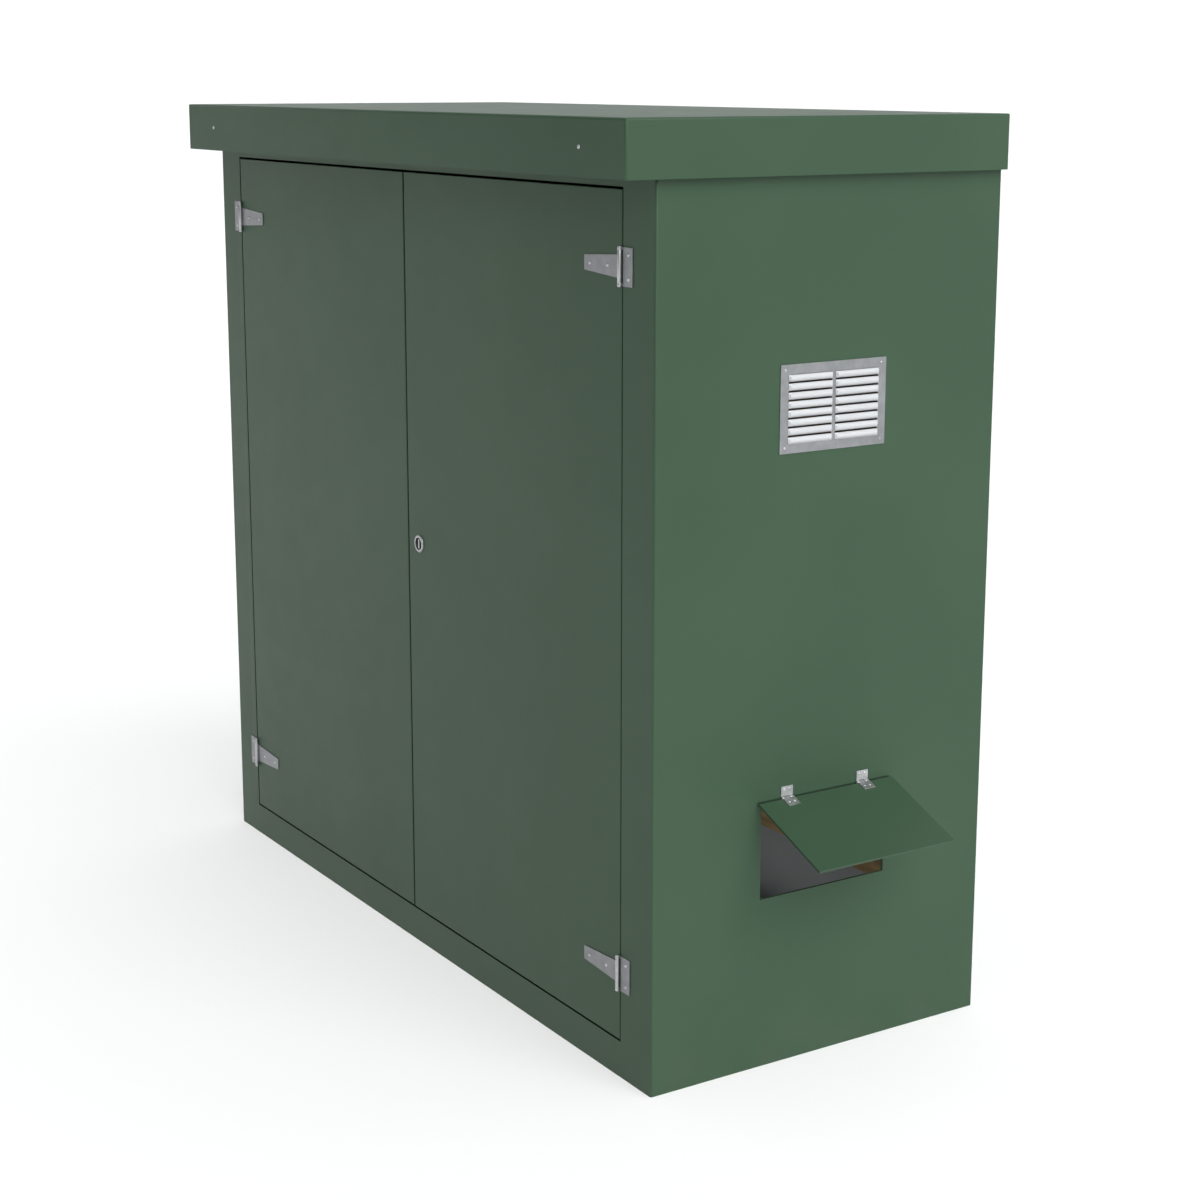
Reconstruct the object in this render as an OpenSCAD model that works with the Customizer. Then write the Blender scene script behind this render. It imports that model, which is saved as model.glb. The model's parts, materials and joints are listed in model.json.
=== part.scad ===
// Roadside utility cabinet: a moulded glass-fibre body with a separate roof, a pair of
// flush doors on tee hinges, a louvred vent and a hinged cable flap in its right side.
// Millimetres. +Z is up, the doors face -Y, and the origin is on the ground at the
// middle of the body's base.

/* [Body] */
// Width of the body across its front
body_w = 1750; // [1450:10:2150]
// Depth of the body from front to back
body_d = 742; // [610:2:900]
// Height of the body up to the underside of the roof
body_h = 1587; // [1300:1:1920]
// Thickness of the moulded walls
wall_t = 5; // [4:0.5:8]
// Radius of the moulded vertical corners
corner_r = 4; // [2:0.5:8]
// Width of the fixing flange turned in at the base
base_flange_w = 75; // [60:1:100]
// Distance of the ground bolts from the outer faces
base_bolt_inset = 50; // [45:1:60]
// Radius of the ground bolt holes
base_bolt_r = 7; // [5:0.5:10]
// Width of the roof seat turned in at the sides and back
seat_w = 45; // [40:1:70]
// Width of the roof seat turned in behind the front frame
front_seat_w = 75; // [70:1:90]

/* [Door opening] */
// Width of the frame beside the doors
stile_w = 96.5; // [80:0.5:130]
// Height of the frame below the doors
sill_h = 67.5; // [60:0.5:120]
// Height of the frame above the doors
head_h = 16; // [16:0.5:40]
// Width of the stop that the doors close on
stop_w = 22; // [18:1:30]
// Thickness of the rubber seal on the stop
seal_t = 6; // [4:0.5:8]
// Width of the rubber seal
seal_w = 12; // [8:1:16]

/* [Doors] */
// Depth of a door, from its face to the end of its turned edge
door_d = 30; // [25:1:40]
// Thickness of the door skin and its turned edge
skin_t = 5; // [4:0.5:6]
// Radius round the edge of a door face
door_edge_r = 2; // [1:0.5:3]
// Gap between a door and the frame at its hinge side
side_gap = 3; // [2:0.5:4]
// Gap between the two doors
meeting_gap = 4; // [3:0.5:6]
// Gap above the doors
door_top_gap = 4; // [2:0.5:6]
// Gap below the doors
door_low_gap = 3; // [2:0.5:6]

/* [Roof] */
// Height of the roof's edge
roof_h = 98; // [80:1:140]
// How far the roof stands out in front of the body
roof_front_out = 70; // [40:1:100]
// How far the roof stands out at each side
roof_side_out = 16.5; // [8:0.5:30]
// How far the roof stands out at the back
roof_back_out = 1; // [0:0.5:20]
// Radius of the roof's edges
roof_edge_r = 5; // [3:0.5:10]
// Thickness of the roof moulding
roof_t = 5; // [4:0.5:8]
// Distance of the two edge screws from the ends of the roof
roof_screw_inset = 140; // [110:1:250]

/* [Door hinges] */
// Distance of each hinge from the top or bottom edge of its door
hinge_inset = 127; // [90:1:200]
// Height of the plate on the frame
plate_h = 65; // [55:1:80]
// Reach of the plate from the pin
plate_l = 35; // [31:0.5:44]
// Width of the slot between the plate and the barrel
plate_slot = 2.6; // [1:0.2:3]
// Height of the two ears that join the plate to its knuckles
ear_h = 5; // [4:0.5:10]
// Distance of the pin from the edge of the door, over the door
pin_inset = 2; // [0:0.5:4]
// Length of the strap from the pin
strap_l = 113.5; // [90:0.5:160]
// Width of the strap at the pin
strap_root_w = 40; // [32:1:44]
// Width of the strap at its tip
strap_tip_w = 25.5; // [20:0.5:30]
// Thickness of plate and strap
leaf_t = 1.6; // [1.2:0.2:2.4]
// Radius of the hinge pin
hinge_pin_r = 2.4; // [2:0.1:2.6]
// Outer radius of the knuckles
knuckle_r = 3.9; // [3.6:0.1:4.4]

/* [Lock] */
// Distance of the lock from the middle of the gap between the doors
lock_x = 46; // [38:1:60]
// Height of the lock above the ground
lock_z = 841.5; // [700:0.5:1000]
// Radius of the lock's round flange
lock_flange_r = 17.5; // [17:0.5:20]
// Radius of the recess that takes the key
lock_cup_r = 12.2; // [11:0.1:12.4]
// Width of the cam
cam_w = 18; // [16:1:22]
// How far the cam reaches past the middle of the gap
cam_reach = 15; // [12:1:20]

/* [Shoot bolts] */
// Radius of the sliding rod
rod_r = 5; // [4:0.5:5.5]
// Travel of each bolt
bolt_travel = 15; // [13:0.5:15]
// Length of the rod
rod_l = 171; // [150:1:220]

/* [Vent] */
// Width of the vent
vent_w = 230; // [200:1:300]
// Height of the vent
vent_h = 153.5; // [140:0.5:220]
// Height of the middle of the vent
vent_z = 1192.5; // [1000:0.5:1250]
// Number of louvres in each column
louvre_n = 8; // [5:1:12]
// Width of the plain border beside the louvres
vent_border = 17.3; // [14:0.1:22]
// Width of the plain strip between the columns
vent_mullion = 8; // [6:0.5:14]
// How far a louvre's lower lip stands out
louvre_out = 3.6; // [2.5:0.1:6]

/* [Cable flap] */
// Width of the hole in the wall
port_w = 280; // [220:1:360]
// Height of the lower edge of the hole
port_z0 = 317.5; // [250:0.5:340]
// Height of the hole
port_h = 171.5; // [140:0.5:200]
// How far the flap laps over the wall round the hole
flap_lap = 10; // [8:0.5:16]
// Thickness of the flap
flap_t = 4; // [3:0.5:5]
// Angle that the flap stands open from the wall
flap_open = 68; // [20:1:80]
// Distance between the two flap hinges
flap_hinge_gap = 170; // [120:1:220]

/* [Backboard] */
// Thickness of the plywood board
board_t = 18; // [15:1:25]
// Height of the lower edge of the board
board_z0 = 178; // [120:1:300]
// Clear space above the board, up to the roof seat
board_top_gap = 82; // [60:1:200]
// Clear space between the board and each side wall
board_side_gap = 20; // [5:1:60]

/* [Hidden] */
$fn = 48;

// Colours
gel_green = "#4e6852";
zinc = "#a8a9ac";
steel = "#b9babd";
alloy = "#c4c6ca";
ply = "#8a6a3c";
rubber = "#1d1e1f";

// Fits
eps = 1;
body_clear = 0.3;    // between pieces that move past each other
pin_clear = 0.05;    // between a turning bore and its pin
fixed_clear = 0.02;  // between a fixed bore and its pin
hole_clear = 0.1;    // between a drilled hole and its fastener

// Body
front_y = -body_d / 2;
back_y = body_d / 2;
side_x = body_w / 2;
open_x = side_x - stile_w;
open_z0 = sill_h;
open_z1 = body_h - head_h;
stop_y = front_y + door_d + body_clear + seal_t;
seat_z = body_h - wall_t;
base_bolt_x = side_x - base_bolt_inset;
base_bolt_y = back_y - base_bolt_inset;

// Doors
door_x0 = meeting_gap / 2;
door_x1 = open_x - side_gap;
door_z0 = open_z0 + door_low_gap;
door_z1 = open_z1 - door_top_gap;
door_back_y = front_y + door_d;

// Hinges: the pin stands over the edge of the door, just inside the side gap
pin_x = door_x1 - pin_inset;
pin_out = knuckle_r + 0.2;
pin_y = front_y - pin_out;
hinge_z = [door_z0 + hinge_inset, door_z1 - hinge_inset];
leaf_bolt_r = 2;
leaf_head = [3.4, 1.7]; // radius and height of a bolt's head
leaf_bolt_l = leaf_t + max(skin_t, wall_t) + 5;
leaf_nut_h = 3.2;
leaf_nut_af = 7;
plate_bolt_x = 22.8;
plate_bolt_z = 20.25;
strap_bolt_x = [40.5, strap_l - 18];
strap_half = strap_root_w / 2;
barrel_half = plate_h / 2 - ear_h - body_clear; // half the length of the strap's knuckle

// Roof
roof_z1 = body_h + roof_h;
roof_x = side_x + roof_side_out;
roof_y0 = front_y - roof_front_out;
roof_y1 = back_y + roof_back_out;
roof_bolt_r = 4;
roof_nut_h = 6.5;
roof_nut_af = 13;
bracket_t = 3;
bracket_w = 40;
bracket_h = 60;
bracket_x = roof_x - roof_screw_inset;
bracket_bolt_y = front_y + front_seat_w - 19;
roof_screw_z = body_h + roof_h / 2;
roof_screw_r = 2.5;
roof_screw_head = [3.7, 1.9];
weld_nut = [8, 4]; // size across its flats, and height
seat_bolt_x = side_x - 25;
seat_bolt_y = back_y - 25;
rear_bolt_x = body_w * 0.34;

// Lock
lock_barrel_r = lock_cup_r + 2;
lock_flange_t = 3;
lock_cup_d = 9;
lock_back = door_d;
lock_shaft_r = 7;
lock_square = 8;
key_bar = [5.2, 19];
lock_disc_t = 3;
cam_screw_r = 2.5;
cam_t = 3;
cam_y = lock_back + 1;

// Shoot bolts: the rod stands beside the turned edge of the left door, halfway into it
rod_x = -(door_x0 + skin_t + 10);
rod_y = (front_y + skin_t + door_back_y) / 2;
bracket_base_t = 2;
bracket_half_w = (door_d - skin_t) / 2 - 1.5;
bracket_screw_y = bracket_half_w - 4;
guide_r = rod_r + 2.5;
guide_z = [22, 145];
guide_l = 22;
knob_z = 122;
knob_stem_r = 3;
knob_stem_l = rod_r + 13;
knob_r = 7;
knob_h = 9;

// Vent
vent_t = 1.5;
louvre_t = 0.9;
vent_screw = [vent_w - 21, vent_h - 19];
louvre_top = vent_h / 2 - 18;
louvre_pitch = (vent_h - 30) / louvre_n;
louvre_h = louvre_pitch - 3.4;
vent_hole = [vent_w - 34, vent_h - 33.5];

// Cable flap, measured from its pin with the flap shut
flap_pin_out = 3.1;
flap_knuckle_r = 2.8;
flap_pin_r = 1.5;
flap_leaf_t = 1.5;
flap_leaf_w = 25.5;
flap_leaf_l = 23;
wall_leaf_l = 21;
flap_pin_x = side_x + flap_pin_out;
flap_pin_z = port_z0 + port_h + flap_lap;
flap_len = port_h + 2 * flap_lap - 0.5;
flap_x0 = body_clear - flap_pin_out;
flap_x1 = flap_x0 + flap_t;
flap_edge = flap_knuckle_r + 0.6;
small_screw_r = 1.5;
flap_screw_y = 5.8;
wall_screw_z = 15;
leaf_screw_z = 13.7;
flap_head = [2.4, 1.1]; // radius and height of a screw's head

// Backboard
board_x = side_x - wall_t - board_side_gap;
board_z1 = body_h - board_top_gap;
board_back = back_y - wall_t;
board_front = board_back - board_t;
stud_r = 4;
stud_plate_r = 19;
stud_plate_t = 1.5;
stud_x = [-0.9, -0.3, 0.3, 0.9] * board_x;
stud_z = [board_z0 + 80, board_z1 - 80];
washer_t = 1.6;
washer_r = 12;
stud_nut_h = 6.5;
nut_pocket_d = washer_t + stud_nut_h + 0.9;
nut_seat_y = board_front + nut_pocket_d;

// A block between two limits along each axis
module span(x, y, z) {
    translate([x[0], y[0], z[0]]) cube([x[1] - x[0], y[1] - y[0], z[1] - z[0]]);
}

// A round bar along X, Y or Z, from its first limit to its second
module bar_x(x, y, z, r) {
    translate([x[0], y, z]) rotate([0, 90, 0]) cylinder(h = x[1] - x[0], r = r);
}
module bar_y(x, y, z, r) {
    translate([x, y[0], z]) rotate([-90, 0, 0]) cylinder(h = y[1] - y[0], r = r);
}
module bar_z(x, y, z, r) {
    translate([x, y, z[0]]) cylinder(h = z[1] - z[0], r = r);
}

// A rectangle with round corners, centred
module rounded_rectangle(w, d, r) {
    union() {
        square([w - 2 * r, d], center = true);
        square([w, d - 2 * r], center = true);
        for (x = [-1, 1], y = [-1, 1]) translate([x * (w / 2 - r), y * (d / 2 - r)]) circle(r);
    }
}

// A dome-headed bolt along +Z with its head below z = 0
module dome_bolt(shank_r, shank_l, head_r, head_h) {
    ball_r = (head_r * head_r + head_h * head_h) / (2 * head_h);
    union() {
        cylinder(h = shank_l, r = shank_r);
        intersection() {
            translate([0, 0, ball_r - head_h]) sphere(ball_r);
            translate([0, 0, -head_h - eps]) cylinder(h = head_h + eps, r = head_r + eps);
        }
    }
}

// A hexagon nut along +Z on z = 0
module hex_nut(across, h, hole_r) {
    difference() {
        cylinder(h = h, r = across / sqrt(3), $fn = 6);
        translate([0, 0, -eps]) cylinder(h = h + 2 * eps, r = hole_r);
    }
}

// A hexagon-headed bolt along +Z with its head below z = 0
module hex_bolt(shank_r, shank_l, across, head_h) {
    union() {
        translate([0, 0, -head_h / 2]) cylinder(h = shank_l + head_h / 2, r = shank_r);
        translate([0, 0, -head_h]) cylinder(h = head_h, r = across / sqrt(3), $fn = 6);
    }
}

// Puts what points along +Z on the front, pointing inwards
module from_front(x, y, z) { translate([x, y, z]) rotate([-90, 0, 0]) children(); }

// Puts what points along +Z on the right side, pointing inwards
module from_right(x, y, z) { translate([x, y, z]) rotate([0, -90, 0]) children(); }

// ---------------------------------------------------------------- body

module body_shell() {
    color(gel_green) difference() {
        union() {
            difference() {
                linear_extrude(body_h) rounded_rectangle(body_w, body_d, corner_r);
                span([-side_x + wall_t, side_x - wall_t], [front_y + wall_t, back_y - wall_t],
                     [wall_t, seat_z]);
            }
            // Frame turned in round the doors, and the stop behind them
            span([-open_x - wall_t, open_x + wall_t], [front_y + wall_t / 2, stop_y + wall_t],
                 [open_z0 - wall_t, open_z1 + wall_t]);
        }
        // Door opening, then the narrower opening inside the stop
        span([-open_x, open_x], [front_y - eps, stop_y], [open_z0, open_z1]);
        span([-open_x + stop_w, open_x - stop_w], [stop_y - eps, stop_y + wall_t + eps],
             [open_z0 + stop_w, open_z1 - stop_w]);
        // Open base inside the fixing flange
        span([-side_x + base_flange_w, side_x - base_flange_w],
             [front_y + base_flange_w, back_y - base_flange_w], [-eps, wall_t + eps]);
        // Open top inside the roof seat
        span([-side_x + seat_w, side_x - seat_w], [front_y + front_seat_w, back_y - seat_w],
             [seat_z - eps, body_h + eps]);
        for (x = [-1, 1], y = [-1, 1])
            bar_z(x * base_bolt_x, y * base_bolt_y, [-eps, wall_t + eps], base_bolt_r);
        roof_bolt_places() bar_z(0, 0, [-wall_t - eps, eps], roof_bolt_r + hole_clear);
        for (side = [-1, 1], z = hinge_z, dz = [-1, 1])
            bar_y(side * (pin_x + plate_bolt_x), [front_y - eps, front_y + wall_t + eps],
                  z + dz * plate_bolt_z, leaf_bolt_r + hole_clear);
        // Holes that the shoot bolts enter
        bar_z(rod_x, rod_y, [open_z1 - eps, open_z1 + wall_t + eps], rod_r + 1);
        bar_z(rod_x, rod_y, [open_z0 - wall_t - eps, open_z0 + eps], rod_r + 1);
        // Vent and cable port in the right side
        span([side_x - wall_t - eps, side_x + eps], [-vent_hole[0] / 2, vent_hole[0] / 2],
             [vent_z - vent_hole[1] / 2, vent_z + vent_hole[1] / 2]);
        span([side_x - wall_t - eps, side_x + eps], [-port_w / 2, port_w / 2],
             [port_z0, port_z0 + port_h]);
        vent_screw_places() cylinder(h = 12, r = small_screw_r + hole_clear);
        flap_wall_screw_places() cylinder(h = 12, r = small_screw_r + hole_clear);
    }
}

// The places of the bolts that hold the roof on its seat, at the top of the seat
module roof_bolt_places() {
    for (side = [-1, 1]) {
        translate([side * bracket_x, bracket_bolt_y, body_h]) children();
        translate([side * seat_bolt_x, 0, body_h]) children();
        translate([side * rear_bolt_x, seat_bolt_y, body_h]) children();
    }
}

module roof_cap() {
    w = 2 * roof_x;
    d = roof_y1 - roof_y0;
    mid_y = (roof_y0 + roof_y1) / 2;
    color(gel_green) difference() {
        intersection() {
            translate([0, mid_y, body_h]) linear_extrude(roof_h) rounded_rectangle(w, d, roof_edge_r);
            // Round the top edges along the width and along the depth
            translate([-roof_x - eps, mid_y, body_h]) rotate([90, 0, 90])
                linear_extrude(w + 2 * eps) translate([0, roof_h / 2 - roof_edge_r])
                    rounded_rectangle(d, roof_h + 2 * roof_edge_r, roof_edge_r);
            translate([0, roof_y1 + eps, body_h]) rotate([90, 0, 0])
                linear_extrude(d + 2 * eps) translate([0, roof_h / 2 - roof_edge_r])
                    rounded_rectangle(w, roof_h + 2 * roof_edge_r, roof_edge_r);
        }
        span([-roof_x + roof_t, roof_x - roof_t], [roof_y0 + roof_t, roof_y1 - roof_t],
             [body_h + roof_t, roof_z1 - roof_t]);
        span([-side_x + seat_w, side_x - seat_w], [front_y + front_seat_w, back_y - seat_w],
             [body_h - eps, body_h + roof_t + eps]);
        roof_bolt_places() bar_z(0, 0, [-eps, roof_t + eps], roof_bolt_r + hole_clear);
        for (side = [-1, 1])
            bar_y(side * bracket_x, [roof_y0 - eps, roof_y0 + roof_t + eps], roof_screw_z,
                  roof_screw_r + hole_clear);
    }
}

// A folded steel angle from the roof's front edge to the roof seat, with a nut welded on
module roof_bracket(side) {
    x = side * bracket_x;
    y0 = roof_y0 + roof_t;
    z0 = body_h + roof_t;
    color(zinc) difference() {
        union() {
            span([x - bracket_w / 2, x + bracket_w / 2], [y0, y0 + bracket_t], [z0, z0 + bracket_h]);
            span([x - bracket_w / 2, x + bracket_w / 2], [y0, bracket_bolt_y + bracket_w / 2],
                 [z0, z0 + bracket_t]);
            translate([x, y0 + bracket_t / 2, roof_screw_z]) rotate([-90, 0, 0])
                cylinder(h = bracket_t / 2 + weld_nut[1], r = weld_nut[0] / sqrt(3), $fn = 6);
        }
        bar_y(x, [y0 - eps, y0 + bracket_t + weld_nut[1] + eps], roof_screw_z,
              roof_screw_r + fixed_clear);
        bar_z(x, bracket_bolt_y, [z0 - eps, z0 + bracket_t + eps], roof_bolt_r + hole_clear);
    }
}
module left_roof_bracket() { roof_bracket(-1); }
module right_roof_bracket() { roof_bracket(1); }

module roof_edge_screws() {
    color(steel) for (side = [-1, 1])
        from_front(side * bracket_x, roof_y0, roof_screw_z)
            dome_bolt(roof_screw_r, roof_t + bracket_t + weld_nut[1], roof_screw_head[0],
                      roof_screw_head[1]);
}

// The bolts go up from inside the body; those of the brackets clamp one more thickness
module roof_bolts() {
    color(steel) for (place = [0, 1, 2], side = [-1, 1]) {
        x = side * [bracket_x, seat_bolt_x, rear_bolt_x][place];
        y = [bracket_bolt_y, 0, seat_bolt_y][place];
        grip = wall_t + roof_t + (place == 0 ? bracket_t : 0);
        translate([x, y, seat_z]) hex_bolt(roof_bolt_r, grip + roof_nut_h + 2, roof_nut_af, 5);
    }
}
module roof_nuts() {
    color(zinc) for (place = [0, 1, 2], side = [-1, 1]) {
        x = side * [bracket_x, seat_bolt_x, rear_bolt_x][place];
        y = [bracket_bolt_y, 0, seat_bolt_y][place];
        z = body_h + roof_t + (place == 0 ? bracket_t : 0);
        translate([x, y, z]) hex_nut(roof_nut_af, roof_nut_h, roof_bolt_r + fixed_clear);
    }
}

module door_seal() {
    color(rubber) difference() {
        span([-open_x + 1, open_x - 1], [stop_y - seal_t, stop_y], [open_z0 + 1, open_z1 - 1]);
        span([-open_x + 1 + seal_w, open_x - 1 - seal_w], [stop_y - seal_t - eps, stop_y + eps],
             [open_z0 + 1 + seal_w, open_z1 - 1 - seal_w]);
    }
}

// ----------------------------------------------------------- backboard

module stud_places() {
    for (x = stud_x, z = stud_z) translate([x, 0, z]) rotate([90, 0, 0]) children();
}

// The nuts lie in pockets, so that equipment can lie flat on the board
module backboard() {
    color(ply) difference() {
        span([-board_x, board_x], [board_front, board_back], [board_z0, board_z1]);
        stud_places() translate([0, 0, -board_back - eps])
            cylinder(h = board_t + 2 * eps, r = stud_r + hole_clear);
        stud_places() translate([0, 0, -board_back - eps])
            cylinder(h = stud_plate_t + 0.1 + eps, r = stud_plate_r + 0.5);
        stud_places() translate([0, 0, -nut_seat_y])
            cylinder(h = nut_pocket_d + eps, r = washer_r + 0.5);
    }
}

// Studs on round plates that are bonded to the back wall
module backboard_studs() {
    color(zinc) stud_places() translate([0, 0, -board_back]) union() {
        cylinder(h = stud_plate_t, r = stud_plate_r);
        cylinder(h = board_t - 0.5, r = stud_r);
    }
}
module backboard_washers() {
    color(steel) stud_places() translate([0, 0, -nut_seat_y]) difference() {
        cylinder(h = washer_t, r = washer_r);
        translate([0, 0, -eps]) cylinder(h = washer_t + 2 * eps, r = stud_r + hole_clear);
    }
}
module backboard_nuts() {
    color(steel) stud_places() translate([0, 0, -nut_seat_y + washer_t])
        hex_nut(roof_nut_af, stud_nut_h, stud_r + fixed_clear);
}

// ---------------------------------------------------------------- vent

module vent_screw_places() {
    for (y = [-1, 1], z = [-1, 1])
        from_right(side_x + vent_t, y * vent_screw[0] / 2, vent_z + z * vent_screw[1] / 2) children();
}

// A louvre's outer form, and the hollow pressed out behind it
module louvre_form(y0, y1) {
    translate([vent_t, y1, 0]) rotate([90, 0, 0]) linear_extrude(y1 - y0)
        polygon([[-0.5, 0], [0, 0], [louvre_out, -louvre_h], [-0.5, -louvre_h]]);
}
module louvre_hollow(y0, y1, slit) {
    translate([vent_t - louvre_t, y1 - louvre_t, 0]) rotate([90, 0, 0])
        linear_extrude(y1 - y0 - 2 * louvre_t)
            polygon([[-vent_t, 0], [0, 0], [louvre_out, -louvre_h], [louvre_out, -louvre_h - eps],
                     [louvre_t, -louvre_h - eps], [louvre_t, -louvre_h - slit],
                     [-vent_t, -louvre_h - slit]]);
}

module vent_louvre() {
    columns = [[-vent_w / 2 + vent_border, -vent_mullion / 2],
               [vent_mullion / 2, vent_w / 2 - vent_border]];
    color(alloy) translate([side_x, 0, vent_z]) difference() {
        union() {
            span([0, vent_t], [-vent_w / 2, vent_w / 2], [-vent_h / 2, vent_h / 2]);
            for (c = columns, i = [0 : louvre_n - 1])
                translate([0, 0, louvre_top - i * louvre_pitch]) louvre_form(c[0], c[1]);
        }
        for (c = columns, i = [0 : louvre_n - 1])
            translate([0, 0, louvre_top - i * louvre_pitch])
                louvre_hollow(c[0], c[1], i < louvre_n - 1 ? louvre_pitch - louvre_h - 0.6 : 1);
        for (y = [-1, 1], z = [-1, 1])
            bar_x([-eps, vent_t + eps], y * vent_screw[0] / 2, z * vent_screw[1] / 2,
                  small_screw_r + hole_clear);
    }
}
module vent_screws() {
    color(steel) vent_screw_places() dome_bolt(small_screw_r, vent_t + wall_t + 4, 2.6, 1.3);
}

// -------------------------------------------------------- door hinges

// Drawn on the left side, from the pin, with +X towards the door. A hinge is the same
// above and below its middle, so one turned about Y serves the right side.
module at_hinge(side, level) {
    translate([0, pin_y, hinge_z[level]]) rotate([0, side > 0 ? 180 : 0, 0])
        translate([-pin_x, 0, 0]) children();
}

module knuckle(z0, z1) { translate([0, 0, z0]) cylinder(h = z1 - z0, r = knuckle_r); }

// A plate whose two ears reach past a slot to a short knuckle at each end of the barrel
module hinge_plate(side, level) {
    ear_z = plate_h / 2 - ear_h;
    color(zinc) at_hinge(side, level) difference() {
        union() {
            span([-plate_l, 0], [pin_out - leaf_t, pin_out], [-plate_h / 2, plate_h / 2]);
            for (s = [-1, 1]) knuckle(s > 0 ? ear_z : -plate_h / 2, s > 0 ? plate_h / 2 : -ear_z);
        }
        span([-knuckle_r - plate_slot, knuckle_r + eps], [-knuckle_r - eps, pin_out + eps],
             [-ear_z, ear_z]);
        bar_z(0, 0, [-plate_h / 2 - eps, plate_h / 2 + eps], hinge_pin_r + fixed_clear);
        for (s = [-1, 1])
            bar_y(-plate_bolt_x, [0, pin_out + eps], s * plate_bolt_z, leaf_bolt_r + hole_clear);
    }
}

// A tapered strap on a barrel that fills the space between the plate's knuckles
module hinge_strap(side, level) {
    color(zinc) at_hinge(side, level) difference() {
        union() {
            translate([0, pin_out, 0]) rotate([90, 0, 0]) linear_extrude(leaf_t)
                polygon([[0, -strap_half], [strap_l, -strap_tip_w / 2], [strap_l, strap_tip_w / 2],
                         [0, strap_half]]);
            knuckle(-barrel_half, barrel_half);
        }
        bar_z(0, 0, [-barrel_half - eps, barrel_half + eps], hinge_pin_r + pin_clear);
        for (x = strap_bolt_x) bar_y(x, [0, pin_out + eps], 0, leaf_bolt_r + hole_clear);
    }
}

module hinge_pin(side, level) {
    color(steel) at_hinge(side, level) union() {
        bar_z(0, 0, [-plate_h / 2 - 0.8, plate_h / 2 + 0.8], hinge_pin_r);
        for (s = [-1, 1])
            translate([0, 0, s > 0 ? plate_h / 2 : -plate_h / 2 - 1.2])
                cylinder(h = 1.2, r = hinge_pin_r + 1);
    }
}

module upper_left_hinge_plate() { hinge_plate(-1, 1); }
module lower_left_hinge_plate() { hinge_plate(-1, 0); }
module upper_right_hinge_plate() { hinge_plate(1, 1); }
module lower_right_hinge_plate() { hinge_plate(1, 0); }
module upper_left_hinge_strap() { hinge_strap(-1, 1); }
module lower_left_hinge_strap() { hinge_strap(-1, 0); }
module upper_right_hinge_strap() { hinge_strap(1, 1); }
module lower_right_hinge_strap() { hinge_strap(1, 0); }
module upper_left_hinge_pin() { hinge_pin(-1, 1); }
module lower_left_hinge_pin() { hinge_pin(-1, 0); }
module upper_right_hinge_pin() { hinge_pin(1, 1); }
module lower_right_hinge_pin() { hinge_pin(1, 0); }

// A bolt or nut of a hinge leaf, pointing inwards
module leaf_bolt() { dome_bolt(leaf_bolt_r, leaf_bolt_l, leaf_head[0], leaf_head[1]); }
module leaf_nut() { hex_nut(leaf_nut_af, leaf_nut_h, leaf_bolt_r + fixed_clear); }

module hinge_plate_bolts() {
    color(steel) for (side = [-1, 1], level = [0, 1], s = [-1, 1]) at_hinge(side, level)
        from_front(-plate_bolt_x, pin_out - leaf_t, s * plate_bolt_z) leaf_bolt();
}
module hinge_plate_nuts() {
    color(steel) for (side = [-1, 1], level = [0, 1], s = [-1, 1]) at_hinge(side, level)
        from_front(-plate_bolt_x, pin_out + wall_t, s * plate_bolt_z) leaf_nut();
}
module strap_bolts(side) {
    color(steel) for (level = [0, 1], x = strap_bolt_x) at_hinge(side, level)
        from_front(x, pin_out - leaf_t, 0) leaf_bolt();
}
module strap_nuts(side) {
    color(steel) for (level = [0, 1], x = strap_bolt_x) at_hinge(side, level)
        from_front(x, pin_out + skin_t, 0) leaf_nut();
}
module left_strap_bolts() { strap_bolts(-1); }
module left_strap_nuts() { strap_nuts(-1); }
module right_strap_bolts() { strap_bolts(1); }
module right_strap_nuts() { strap_nuts(1); }

// --------------------------------------------------------------- doors

// A moulded tray, drawn on the right side: a face with rounded edges turned back all round
module door_tray() {
    w = door_x1 - door_x0;
    h = door_z1 - door_z0;
    difference() {
        intersection() {
            translate([(door_x0 + door_x1) / 2, front_y + door_d / 2 + door_edge_r, door_z0])
                linear_extrude(h) rounded_rectangle(w, door_d + 2 * door_edge_r, door_edge_r);
            translate([door_x0 - eps, front_y + door_d / 2 + door_edge_r, (door_z0 + door_z1) / 2])
                rotate([90, 0, 90]) linear_extrude(w + 2 * eps)
                    rounded_rectangle(door_d + 2 * door_edge_r, h, door_edge_r);
            span([door_x0, door_x1], [front_y, door_back_y], [door_z0, door_z1]);
        }
        span([door_x0 + skin_t, door_x1 - skin_t], [front_y + skin_t, door_back_y + eps],
             [door_z0 + skin_t, door_z1 - skin_t]);
        for (z = hinge_z, x = strap_bolt_x)
            bar_y(pin_x - x, [front_y - eps, front_y + skin_t + eps], z, leaf_bolt_r + hole_clear);
    }
}

module left_door() {
    color(gel_green) difference() {
        mirror([1, 0, 0]) door_tray();
        for (z = [door_z0, door_z1])
            bar_z(rod_x, rod_y, [z - skin_t - eps, z + skin_t + eps], rod_r + 0.5);
        bracket_screw_places()
            cylinder(h = 2 * skin_t - 2, r = small_screw_r + fixed_clear, center = true);
    }
}

module right_door() {
    color(gel_green) difference() {
        door_tray();
        bar_y(lock_x, [front_y - eps, front_y + skin_t + eps], lock_z, lock_barrel_r + hole_clear);
    }
}

// -------------------------------------------------------- shoot bolts

// Drawn from the end of the door, with z growing away from that end
module at_bolt(end) {
    translate([rod_x, rod_y, end > 0 ? door_z1 : door_z0]) mirror([0, 0, end > 0 ? 1 : 0]) children();
}

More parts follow.
